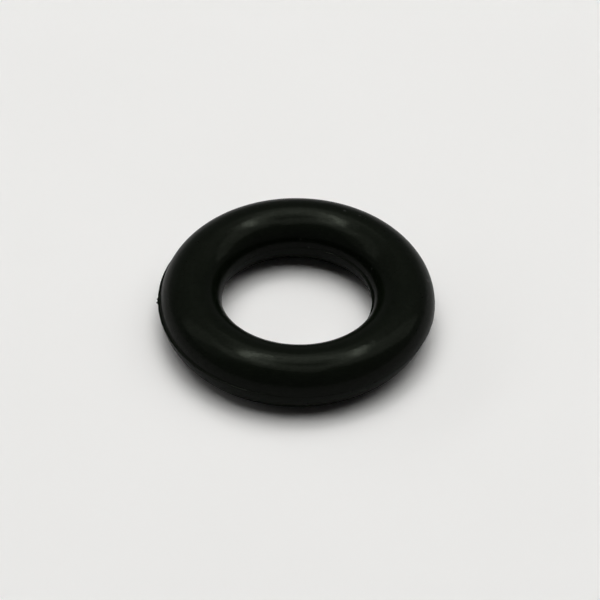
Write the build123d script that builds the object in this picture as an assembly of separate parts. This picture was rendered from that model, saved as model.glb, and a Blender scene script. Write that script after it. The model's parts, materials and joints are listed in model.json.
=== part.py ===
"""O-ring of size 10 x 4: a one-piece moulded rubber ring with a round section, lying flat.

The ring is pressed between two mould plates that meet at mid height, and its form keeps the traces:
- each half of the section belongs to its own plate, and the plates closed slightly out of register
  along X, which leaves a crescent ledge at the parting line, outside on one side and inside on the
  other;
- the rubber squeezed out between the plates is trimmed to a thin land, outside and inside, and the
  outer trimming die stood off centre, so the land is widest on the ledge;
- one torn tag of that rubber still stands on the outer land.

Millimetres, +Z up. The origin is at the centre of the ring, on the surface that it lies on.
"""

import os

from build123d import *

# Sizes of the ring
INSIDE_DIAMETER = 10.0  # of each plate's cavity, free and unstretched
SECTION_DIAMETER = 4.0  # of the round section

# Sizes of the parting line
REGISTER_ERROR = 0.127  # how far the plates closed out of register, along X
LAND_THICKNESS = 0.09  # height of the trimmed land, half above and half below the parting plane
LAND_REACH = 0.012  # how far the trimmed land stands proud of the section
DIE_ERROR = 0.045  # how far the outer trimming die stood off the lower plate, towards -X

# Sizes of the torn tag on the outer land
TAG_WIDTH = 0.68  # along the rim
TAG_REACH = 0.14  # of its longer tooth, past the land
TAG_SHORT_REACH = 0.08  # of its shorter tooth, past the land
TAG_NOTCH_REACH = 0.05  # of the notch between the teeth, past the land
TAG_BEARING = 182.4  # degrees around the ring from +X

# What follows from them
SECTION_RADIUS = SECTION_DIAMETER / 2
CENTRELINE_RADIUS = INSIDE_DIAMETER / 2 + SECTION_RADIUS
OUTSIDE_RADIUS = INSIDE_DIAMETER / 2 + SECTION_DIAMETER
PARTING_HEIGHT = SECTION_RADIUS
UPPER_PLATE, LOWER_PLATE = 1, -1


def in_plate(plate):
    """The place of a plate's cavity: both plates are off centre, by half of the register error."""
    return Pos(plate * REGISTER_ERROR / 2, 0, PARTING_HEIGHT)


def moulded_half(plate):
    """The half of the ring that one plate moulds: half of the round section, turned about Z."""
    round_section = Circle(SECTION_RADIUS)
    plate_side = Pos(0, plate * SECTION_RADIUS / 2) * Rectangle(SECTION_DIAMETER, SECTION_RADIUS)
    half_section = Plane.XZ * Pos(CENTRELINE_RADIUS, 0) * (round_section & plate_side)
    return in_plate(plate) * revolve(half_section, Axis.Z)


def in_outer_die():
    """The place of the die that trimmed the lower cavity's rim."""
    return Pos(-DIE_ERROR, 0, 0) * in_plate(LOWER_PLATE)


def trimmed_land():
    """The thin rubber at the parting line, trimmed close to both cavities, outside and inside.

    Outside it follows the upper cavity on one side and the trimming die on the other, whichever
    reaches further out. Inside it follows whichever cavity reaches further in.
    """
    upper, lower = in_plate(UPPER_PLATE), in_plate(LOWER_PLATE)
    outer_edge = Circle(OUTSIDE_RADIUS + LAND_REACH)
    inner_edge = Circle(INSIDE_DIAMETER / 2 - LAND_REACH)
    rim = upper * outer_edge + in_outer_die() * outer_edge
    opening = (upper * inner_edge) & (lower * inner_edge)
    return extrude(rim - opening, LAND_THICKNESS / 2, both=True)


def torn_tag():
    """A shred of the thin rubber that tore instead of parting cleanly: two small teeth, side by side."""
    rim = OUTSIDE_RADIUS + LAND_REACH
    outline = Polyline(
        (OUTSIDE_RADIUS, -TAG_WIDTH / 2),
        (rim + TAG_SHORT_REACH, -TAG_WIDTH / 5),
        (rim + TAG_NOTCH_REACH, 0),
        (rim + TAG_REACH, TAG_WIDTH / 4),
        (OUTSIDE_RADIUS, TAG_WIDTH / 2),
        close=True,
    )
    shred = extrude(make_face(outline), LAND_THICKNESS / 2, both=True)
    return in_outer_die() * Rot(0, 0, TAG_BEARING) * shred


def o_ring():
    """The whole ring, one solid."""
    ring = moulded_half(UPPER_PLATE) + moulded_half(LOWER_PLATE) + trimmed_land() + torn_tag()
    ring.label = "o_ring"
    return ring


os.makedirs("parts", exist_ok=True)
export_step(o_ring(), "parts/o_ring.step")
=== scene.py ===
import json
from math import atan2, cos, pi, radians, sin

import bpy
import numpy as np
from mathutils import Matrix, Vector, noise


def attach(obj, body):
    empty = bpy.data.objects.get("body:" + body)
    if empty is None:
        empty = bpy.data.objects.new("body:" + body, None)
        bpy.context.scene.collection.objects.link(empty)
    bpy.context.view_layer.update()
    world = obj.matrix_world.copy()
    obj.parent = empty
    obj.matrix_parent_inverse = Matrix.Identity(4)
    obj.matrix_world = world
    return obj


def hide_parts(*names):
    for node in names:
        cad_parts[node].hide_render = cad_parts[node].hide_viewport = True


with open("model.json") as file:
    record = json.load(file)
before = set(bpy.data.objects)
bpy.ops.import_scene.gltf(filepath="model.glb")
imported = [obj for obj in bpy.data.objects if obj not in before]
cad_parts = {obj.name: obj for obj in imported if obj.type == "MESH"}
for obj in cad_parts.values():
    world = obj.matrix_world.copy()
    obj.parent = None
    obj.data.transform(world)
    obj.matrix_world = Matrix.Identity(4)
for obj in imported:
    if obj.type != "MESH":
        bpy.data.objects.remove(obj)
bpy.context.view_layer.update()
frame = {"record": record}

MM = 0.001

# ---------------------------------------------------------------- the ring's form, from the frame

MOUNTS = {mount["name"]: mount for mount in frame["record"]["mounts"]}
CLEAR_RADIUS = MOUNTS["inside_diameter"]["dims"]["r_mm"] * MM
OVERALL_RADIUS = MOUNTS["outside_diameter"]["dims"]["r_mm"] * MM
DIE_ERROR = -2 * MOUNTS["outside_diameter"]["pos_m"][0]  # of the outer trimming die, towards -X
PARTING_HEIGHT = MOUNTS["inside_diameter"]["pos_m"][2]
LAND_THICKNESS = MOUNTS["inside_diameter"]["dims"]["length_mm"] * MM
LAND_REACH = 0.012 * MM  # how far the trimmed land stands proud of the section
SECTION_RADIUS = PARTING_HEIGHT  # the ring lies on the floor, at height 0
CENTRELINE_RADIUS = (CLEAR_RADIUS + OVERALL_RADIUS - DIE_ERROR / 2) / 2
INSIDE_RADIUS = CENTRELINE_RADIUS - SECTION_RADIUS
OUTSIDE_RADIUS = CENTRELINE_RADIUS + SECTION_RADIUS
PLATE_SHIFT = INSIDE_RADIUS - CLEAR_RADIUS - LAND_REACH  # of each mould half, along X, either way

# The trimmed edges of the land are ragged: each stands proud by a share of LAND_REACH
RAGGED_MEAN = 0.65
RAGGED_SWING = 0.9
RAGGED_LEAST = 0.35
OUTER_RAGS = {"scale": 24, "seed": 3.0}
INNER_RAGS = {"scale": 16, "seed": 8.0}

# The torn tag on the outer land: places along the rim, in tag widths, and the reach past the land
TAG_BEARING = radians(182.4)
TAG_WIDTH = 0.68 * MM
TAG_PLACES = (-0.5, -0.34, -0.22, -0.12, 0.04, 0.12, 0.17, 0.26, 0.33, 0.5)
TAG_REACHES_MM = (0.0, 0.02, 0.07, 0.02, 0.015, 0.05, 0.02, 0.10, 0.02, 0.0)
TAG_REACHES = tuple(reach * MM for reach in TAG_REACHES_MM)

# Each mould half runs into the land through a small fillet, as rubber does at a step
LIP = 0.006 * MM  # what stays flat of the land, at its edge
FILLET_RISE = 1.2  # the fillet's height, for a step of 1
LEAST_STEP = 0.03 * MM

# How finely the ring is cut up
STEPS_AROUND = 720
STEPS_ACROSS_HALF = 42
FILLET_SHARES = (0.25, 0.5, 0.75)
TAG_STEPS = 60

UPPER, LOWER = 1, -1  # the mould halves


# ---------------------------------------------------------------- helpers

def ray_to_circle(around, shift, radius):
    """How far a ray from the ring's axis runs to a circle that is shifted off it along X."""
    along = np.cos(around) * shift
    return along + np.sqrt(radius ** 2 - shift ** 2 + along ** 2)


def wander(around, scale, seed, octaves=3):
    """A number that changes smoothly and irregularly around the ring, from about -1 to 1."""
    values = []
    for angle in around:
        place = Vector((cos(angle) * scale, sin(angle) * scale, seed))
        values.append(noise.fractal(place, 1.0, 2.0, octaves))
    return np.array(values)


# ---------------------------------------------------------------- the ring

def angles_around():
    """Even steps around the ring, with extra ones along the torn tag."""
    even = np.linspace(0, 2 * pi, STEPS_AROUND, endpoint=False)
    half_tag = TAG_WIDTH / 2 / OUTSIDE_RADIUS
    fine = np.linspace(TAG_BEARING - half_tag, TAG_BEARING + half_tag, TAG_STEPS)
    clear = np.abs(even - TAG_BEARING) > half_tag
    return np.sort(np.concatenate([even[clear], fine]))


def section_loop(around, side, angle):
    """A loop on one mould half, at an angle around the section from the parting plane outside."""
    reach = CENTRELINE_RADIUS + SECTION_RADIUS * np.cos(angle)
    x = reach * np.cos(around) + side * PLATE_SHIFT
    y = reach * np.sin(around)
    z = PARTING_HEIGHT + side * SECTION_RADIUS * np.sin(angle) * np.ones_like(around)
    return np.stack([x, y, z], 1)


def land_loop(around, radius, side):
    """One edge loop of the land, above or below the parting plane."""
    height = PARTING_HEIGHT + side * LAND_THICKNESS / 2
    z = np.full_like(around, height)
    return np.stack([radius * np.cos(around), radius * np.sin(around), z], 1)


def fillet_loops(lip, corner, foot):
    """Loops of a concave curve from the land's lip to the foot of the moulded side."""
    return [(1 - share) ** 2 * lip + 2 * share * (1 - share) * corner + share ** 2 * foot
            for share in FILLET_SHARES]


def fillet_foot(step):
    """The angle around the section at which the fillet of a step ends on the moulded side."""
    rise = LAND_THICKNESS / 2 + FILLET_RISE * np.maximum(step, LEAST_STEP)
    return np.arcsin(rise / SECTION_RADIUS)


def half_loops(around, side, outer, inner):
    """One mould half from the land's outer lip to its inner lip, with the fillets between."""
    outer_step = outer - ray_to_circle(around, side * PLATE_SHIFT, OUTSIDE_RADIUS)
    inner_step = ray_to_circle(around, side * PLATE_SHIFT, INSIDE_RADIUS) - inner
    outer_foot, inner_foot = fillet_foot(outer_step), fillet_foot(inner_step)
    sides = [section_loop(around, side, outer_foot + (pi - outer_foot - inner_foot) * share)
             for share in np.linspace(0, 1, STEPS_ACROSS_HALF)]
    outer_lip = land_loop(around, outer - LIP, side)
    inner_lip = land_loop(around, inner + LIP, side)
    corner_angle = np.arcsin(LAND_THICKNESS / 2 / SECTION_RADIUS)
    outer_corner = section_loop(around, side, corner_angle)
    inner_corner = section_loop(around, side, pi - corner_angle)
    return ([outer_lip] + fillet_loops(outer_lip, outer_corner, sides[0]) + sides
            + fillet_loops(inner_lip, inner_corner, sides[-1])[::-1] + [inner_lip])


def ragged_reach(around, rags):
    """How far a trimmed edge of the land stands proud of the section."""
    share = RAGGED_MEAN + RAGGED_SWING * wander(around, **rags)
    return LAND_REACH * np.clip(share, RAGGED_LEAST, 1.0)


def land_radii(around):
    """The outer and inner edge of the trimmed land, measured from the ring's axis."""
    outside = np.maximum(ray_to_circle(around, PLATE_SHIFT, OUTSIDE_RADIUS),
                         ray_to_circle(around, -PLATE_SHIFT - DIE_ERROR, OUTSIDE_RADIUS))
    inside = np.minimum(ray_to_circle(around, PLATE_SHIFT, INSIDE_RADIUS),
                        ray_to_circle(around, -PLATE_SHIFT, INSIDE_RADIUS))
    return outside + ragged_reach(around, OUTER_RAGS), inside - ragged_reach(around, INNER_RAGS)


def torn_reach(around):
    """How far the torn tag stands past the land."""
    along_rim = (around - TAG_BEARING) * OUTSIDE_RADIUS / TAG_WIDTH
    return np.interp(along_rim, TAG_PLACES, TAG_REACHES)


def mark_sharp(mesh, steps, sharp_loops):
    """Mark the edges that run along the given loops as sharp."""
    ends = np.empty(len(mesh.edges) * 2, int)
    mesh.edges.foreach_get("vertices", ends)
    first, second = ends[0::2] // steps, ends[1::2] // steps
    sharp = (first == second) & np.isin(first, sharp_loops)
    mesh.attributes.new("sharp_edge", "BOOLEAN", "EDGE").data.foreach_set("value", sharp)


def ring_mesh():
    """The ring as one closed mesh: loops around it, in order around the section."""
    around = angles_around()
    outer, inner = land_radii(around)
    rim = outer + torn_reach(around)
    upper = half_loops(around, UPPER, outer, inner)
    lower = half_loops(around, LOWER, outer, inner)
    loops = [land_loop(around, rim, UPPER)] + upper + [land_loop(around, inner, UPPER)]
    inner_edge = len(loops) - 1
    loops += [land_loop(around, inner, LOWER)] + lower[::-1] + [land_loop(around, rim, LOWER)]
    count, steps = len(loops), len(around)
    faces = []
    for i in range(count):
        j = (i + 1) % count
        for k in range(steps):
            m = (k + 1) % steps
            faces.append((i * steps + k, i * steps + m, j * steps + m, j * steps + k))
    mesh = bpy.data.meshes.new("moulded_ring")
    mesh.from_pydata(np.concatenate(loops).tolist(), [], faces)
    mesh.shade_smooth()
    mark_sharp(mesh, steps, (0, inner_edge, inner_edge + 1, count - 1))
    mesh.update()
    return mesh


# ---------------------------------------------------------------- materials

class Graph:
    """A small hand for building the nodes of a material or of the world."""

    def __init__(self, owner):
        owner.use_nodes = True
        self.owner = owner
        self.tree = owner.node_tree

    def node(self, kind, inputs=None, **settings):
        new = self.tree.nodes.new(kind)
        for key, value in settings.items():
            setattr(new, key, value)
        for key, value in (inputs or {}).items():
            self.feed(new.inputs[key], value)
        return new

    def feed(self, socket, value):
        """Link a socket to another node's output, or set it to a constant."""
        if isinstance(value, bpy.types.NodeSocket):
            self.tree.links.new(value, socket)
        else:
            socket.default_value = value

    def math(self, operation, *values):
        node = self.node("ShaderNodeMath", operation=operation)
        for socket, value in zip(node.inputs, values):
            self.feed(socket, value)
        return node.outputs[0]

    def spread(self, value, low, high, to_low, to_high):
        """Map low to high onto to_low to to_high, and hold the ends."""
        node = self.node("ShaderNodeMapRange", {"Value": value, "From Min": low, "From Max": high,
                                                "To Min": to_low, "To Max": to_high})
        return node.outputs[0]

    def blend(self, factor, first, second):
        """A colour between two."""
        node = self.node("ShaderNodeMix", {"Factor": factor}, data_type="RGBA")
        self.feed(node.inputs["A"], first)
        self.feed(node.inputs["B"], second)
        return node.outputs["Result"]

    def noise(self, place, scale, detail=3.0, roughness=0.5):
        return self.node("ShaderNodeTexNoise", {"Vector": place, "Scale": scale, "Detail": detail,
                                                "Roughness": roughness}).outputs["Fac"]


# Scales of the rubber's textures, in cells per metre
PATCH_SCALE = 700.0
MOTTLE_SCALE = 2600.0
BLOOM_SCALE = 5500.0
GRAIN_SCALE = 9000.0
DUST_SCALE = 2600.0
DUST_EDGE_SCALE = 12000.0

# The mould's own turning marks run around the ring
MARKS_ALONG = 150.0  # how fast they change along it, per metre
MARKS_ACROSS = 22.0  # how fast they change across it, per radian of the section

# Heights of the rubber's relief
GRAIN_HEIGHT = 0.0026 * MM
MOTTLE_HEIGHT = 0.0070 * MM
MARKS_HEIGHT = 0.0020 * MM

DARKER_RUBBER = (0.0018, 0.0029, 0.0013, 1.0)
PALER_RUBBER = (0.0028, 0.0041, 0.0022, 1.0)
RUBBER_ROUGHNESS = (0.27, 0.33)
RUBBER_SPECULAR = 0.011  # the shine is in the coat, so little is left under it
COAT_WEIGHT = 0.09  # far less than real rubber has: chosen together with the strong mirrored lamps
DULL_COAT_WEIGHT = 0.065  # on the trimmed parting line
DULL_HEIGHT = 0.20 * MM  # how far its dull band spreads, up and down
COAT_ROUGHNESS = 0.14
COAT_IOR = 1.5
BLOOM = (0.70, 1.30)  # how much of the coat its bloom leaves, and adds

# Fine dust: the share of cells that hold some, how pale it is, and its size in cells
DUST_CHANCE = 0.86
DUST_PALENESS = 0.014
DUST_CORE, DUST_EDGE = 0.05, 0.16

# Single specks of dust, placed as measured in the photo: bearing and section angle in degrees,
# radius in mm, and how pale
SPECKS = (
    (65.4, 80.7, 0.10, 0.020),
    (56.9, 77.9, 0.08, 0.014),
    (88.2, 160.2, 0.08, 0.012),
    (81.9, 176.6, 0.09, 0.014),
    (132.9, -174.9, 0.09, 0.050),
    (23.3, 149.4, 0.10, 0.016),
    (5.1, 38.9, 0.14, 0.020),
)
SPECK_CORE = 0.3  # the share of a speck's radius that is fully pale
SPECK_RAGGEDNESS = 1.6


def on_section(bearing, angle):
    """A place on the moulded surface."""
    reach = CENTRELINE_RADIUS + SECTION_RADIUS * cos(angle)
    height = PARTING_HEIGHT + SECTION_RADIUS * sin(angle)
    return (reach * cos(bearing), reach * sin(bearing), height)


def dust(g, place):
    """How pale the dust makes each place: fine scattered specks, and a few single ones."""
    cells = g.node("ShaderNodeTexVoronoi", {"Vector": place, "Scale": DUST_SCALE}).outputs
    held = g.spread(cells["Color"], DUST_CHANCE, 1.0, 0.0, DUST_PALENESS)
    near = g.spread(cells["Distance"], DUST_CORE, DUST_EDGE, 1.0, 0.0)
    total = g.math("MULTIPLY", held, near)
    ragged = g.math("MULTIPLY", g.noise(place, DUST_EDGE_SCALE, 2.0, 0.6), SPECK_RAGGEDNESS)
    for bearing, angle, radius, pale in SPECKS:
        spot = on_section(radians(bearing), radians(angle))
        away = g.node("ShaderNodeVectorMath", {0: place, 1: spot}, operation="DISTANCE")
        away = g.math("MULTIPLY", away.outputs["Value"], ragged)
        speck = g.spread(away, SPECK_CORE * radius * MM, radius * MM, pale, 0.0)
        total = g.math("ADD", total, speck)
    return total


def turning_marks(g, place, height):
    """The relief of the mould's turning marks, with height above the parting plane given."""
    x, y, _ = g.node("ShaderNodeSeparateXYZ", {0: place}).outputs
    squares = g.math("ADD", g.math("POWER", x, 2.0), g.math("POWER", y, 2.0))
    radial = g.math("SUBTRACT", g.math("SQRT", squares), CENTRELINE_RADIUS)
    angle = g.math("ARCTAN2", height, radial)
    marks_at = g.node("ShaderNodeCombineXYZ", {0: g.math("MULTIPLY", x, MARKS_ALONG),
                                               1: g.math("MULTIPLY", y, MARKS_ALONG),
                                               2: g.math("MULTIPLY", angle, MARKS_ACROSS)})
    return g.noise(marks_at.outputs[0], 1.0, 2.0, 0.6)


def black_rubber():
    """Matte black rubber under a faint coat, which carries its soft shine."""
    g = Graph(bpy.data.materials.new("black_rubber"))
    shader = g.tree.nodes["Principled BSDF"].inputs
    place = g.node("ShaderNodeTexCoord").outputs["Object"]
    z = g.node("ShaderNodeSeparateXYZ", {0: place}).outputs[2]
    height = g.math("SUBTRACT", z, PARTING_HEIGHT)
    marks = turning_marks(g, place, height)
    grain = g.noise(place, GRAIN_SCALE, 3.0, 0.6)
    patches = g.noise(place, PATCH_SCALE, 3.0, 0.55)
    mottle = g.noise(place, MOTTLE_SCALE, 3.0, 0.6)
    bloom = g.noise(place, BLOOM_SCALE, 2.0, 0.7)

    tone = g.math("ADD", g.math("MULTIPLY", patches, 0.5), g.math("MULTIPLY", mottle, 0.5))
    clean = g.blend(g.spread(tone, 0.35, 0.65, 0.0, 1.0), DARKER_RUBBER, PALER_RUBBER)
    dusty = g.node("ShaderNodeVectorMath", {0: clean, 1: dust(g, place)}, operation="ADD")
    g.feed(shader["Base Color"], dusty.outputs["Vector"])
    g.feed(shader["Roughness"], g.spread(mottle, 0.3, 0.7, *RUBBER_ROUGHNESS))
    g.feed(shader["Specular IOR Level"], RUBBER_SPECULAR)

    off_parting = g.math("ABSOLUTE", height)
    coat = g.spread(off_parting, LAND_THICKNESS / 2, DULL_HEIGHT, DULL_COAT_WEIGHT, COAT_WEIGHT)
    bloomed = g.math("MULTIPLY", coat, g.spread(bloom, 0.25, 0.75, *BLOOM))
    g.feed(shader["Coat Weight"], bloomed)
    g.feed(shader["Coat Roughness"], COAT_ROUGHNESS)
    g.feed(shader["Coat IOR"], COAT_IOR)

    relief = g.math("ADD", g.math("MULTIPLY", grain, GRAIN_HEIGHT),
                    g.math("MULTIPLY", mottle, MOTTLE_HEIGHT))
    relief = g.math("ADD", relief, g.math("MULTIPLY", marks, MARKS_HEIGHT))
    bump = g.node("ShaderNodeBump", {"Height": relief, "Distance": 1.0, "Strength": 1.0})
    g.feed(shader["Normal"], bump.outputs["Normal"])
    g.feed(shader["Coat Normal"], bump.outputs["Normal"])
    return g.owner


FLOOR_CLOUD_SCALE = 60.0
DARKER_FLOOR = (0.945, 0.937, 0.920, 1.0)
PALER_FLOOR = (0.955, 0.947, 0.930, 1.0)
FLOOR_ROUGHNESS = 0.9
FLOOR_SPECULAR = 0.1


def pale_floor():
    """A matte, nearly white board."""
    g = Graph(bpy.data.materials.new("pale_floor"))
    shader = g.tree.nodes["Principled BSDF"].inputs
    place = g.node("ShaderNodeTexCoord").outputs["Object"]
    cloud = g.noise(place, FLOOR_CLOUD_SCALE, 2.0, 0.5)
    tint = g.blend(g.spread(cloud, 0.3, 0.7, 0.0, 1.0), DARKER_FLOOR, PALER_FLOOR)
    g.feed(shader["Base Color"], tint)
    g.feed(shader["Roughness"], FLOOR_ROUGHNESS)
    g.feed(shader["Specular IOR Level"], FLOOR_SPECULAR)
    return g.owner


# ---------------------------------------------------------------- lights, floor and camera

CEILING = 1.5  # how high the first lamp hangs, in metres
LAMP_STEP = 0.02  # each next lamp hangs this much lower, so that no two lie in one plane
MIRROR_TINT = (0.91, 1.0, 0.82)  # the faint green of the lamps as the rubber mirrors them

# How bright the room is, by what its light meets
ROOM_LIGHT = 0.019  # matte surfaces
ROOM_SEEN = 0.80  # the camera
ROOM_REFLECTED = 0.33  # the rubber's shine

FLOOR_RADIUS = 4.0
FLOOR_CORNERS = 96

# The camera, fitted to the ring's outline in the photo
CAMERA_DISTANCE = 30 * CENTRELINE_RADIUS
CAMERA_ELEVATION = radians(43.85)
CAMERA_ROLL = radians(1.28)
CAMERA_AIM = (0.207 * MM, 0, PARTING_HEIGHT)
LENS = 191.9
SENSOR_WIDTH = 36
CLIP_START = 0.01


def hang(name, start, end, breadth, radiance):
    """A flat lamp facing down, a band between two places overhead.

    Places and breadth are slopes from the ring: metres across per metre up.
    """
    height = CEILING - LAMP_STEP * len(bpy.data.lights)
    a, b = Vector((*start, 1)) * height, Vector((*end, 1)) * height
    lamp = bpy.data.lights.new(name, "AREA")
    lamp.shape = "RECTANGLE"
    lamp.size, lamp.size_y = (b - a).length, breadth * height
    lamp.energy = radiance * pi * lamp.size * lamp.size_y
    hung = bpy.data.objects.new(name, lamp)
    hung.location = (a + b) / 2
    hung.rotation_euler = (0, 0, atan2(b.y - a.y, b.x - a.x))
    hung.visible_camera = False
    bpy.context.collection.objects.link(hung)
    return hung


def light_the_scene():
    """Two groups of lamps: one lights matte surfaces, and the other shows in the shine only.

    Their places, breadths and radiances were fitted to the photo by a program, and then rounded.
    """
    lit_by = (
        hang("key", (-0.49, 0.46), (0.42, 0.12), 1.12, 2.7),
        hang("left_key", (-2.39, -0.39), (-0.94, 1.99), 0.64, 1.8),
        hang("right_key", (0.59, -0.14), (1.17, 1.00), 0.70, 1.2),
        hang("back_key", (-0.21, 0.28), (0.20, 0.51), 0.12, 5.7),
    )
    for lamp in lit_by:
        lamp.visible_glossy = False
    mirrored = (
        hang("tent", (-2.57, -0.20), (1.12, 0.39), 1.18, 0.35),
        hang("left_side", (-2.35, 0.44), (-0.52, 0.13), 0.57, 0.84),
        hang("right_side", (0.33, -0.12), (2.65, 0.87), 0.78, 1.2),
        hang("left_strip", (-0.39, -0.03), (-0.11, 0.42), 0.05, 19.5),
        hang("right_strip", (0.47, 0.00), (0.24, 0.42), 0.05, 23.4),
        hang("left_fill", (-0.34, -0.23), (-0.16, 0.26), 0.24, 2.85),
        hang("right_fill", (0.37, -0.27), (0.28, 0.31), 0.24, 1.45),
        hang("back_strip", (-0.09, 0.49), (0.14, 0.55), 0.67, 1.4),
        hang("front_strip", (-0.76, -0.06), (0.33, -0.48), 0.41, 1.45),
        hang("inner", (-0.23, 0.36), (0.20, 0.23), 0.53, 1.55),
        hang("back_panel", (-2.58, 0.81), (2.02, 1.15), 0.81, 0.15),
    )
    for lamp in mirrored:
        lamp.visible_diffuse = False
        lamp.data.color = MIRROR_TINT
    light_the_room()


def light_the_room():
    """A dim room: it shows as a pale wall to the camera and as a grey one in reflections."""
    g = Graph(bpy.data.worlds.new("room"))
    background = g.tree.nodes["Background"].inputs
    ray = g.node("ShaderNodeLightPath").outputs
    seen = g.math("MULTIPLY_ADD", ray["Is Camera Ray"], ROOM_SEEN - ROOM_LIGHT, ROOM_LIGHT)
    strength = g.math("MULTIPLY_ADD", ray["Is Glossy Ray"], ROOM_REFLECTED - ROOM_LIGHT, seen)
    g.feed(background["Strength"], strength)
    g.feed(background["Color"], (1, 1, 1, 1))
    bpy.context.scene.world = g.owner


def lay_floor():
    bpy.ops.mesh.primitive_circle_add(vertices=FLOOR_CORNERS, radius=FLOOR_RADIUS,
                                      fill_type="NGON", location=(0, 0, 0))
    floor = bpy.context.object
    floor.name = "floor"
    floor.data.materials.append(pale_floor())


def place_camera():
    """A long lens, looking down on the ring and along +Y."""
    aim = Vector(CAMERA_AIM)
    direction = Vector((0, -cos(CAMERA_ELEVATION), sin(CAMERA_ELEVATION)))
    lens = bpy.data.cameras.new("camera")
    lens.sensor_width = SENSOR_WIDTH
    lens.lens = LENS
    lens.clip_start = CLIP_START
    camera = bpy.data.objects.new("camera", lens)
    camera.location = aim + direction * CAMERA_DISTANCE
    level = (-direction).to_track_quat("-Z", "Y")
    roll = Matrix.Rotation(CAMERA_ROLL, 3, "Z")
    camera.rotation_euler = (level.to_matrix() @ roll).to_euler()
    bpy.context.collection.objects.link(camera)
    bpy.context.scene.camera = camera


def build():
    ring = bpy.data.objects.new("rubber_ring", ring_mesh())
    bpy.context.collection.objects.link(ring)
    ring.data.materials.append(black_rubber())
    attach(ring, "root")
    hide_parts("o_ring")
    lay_floor()
    light_the_scene()
    place_camera()
    bpy.context.scene.view_settings.view_transform = "Standard"


build()
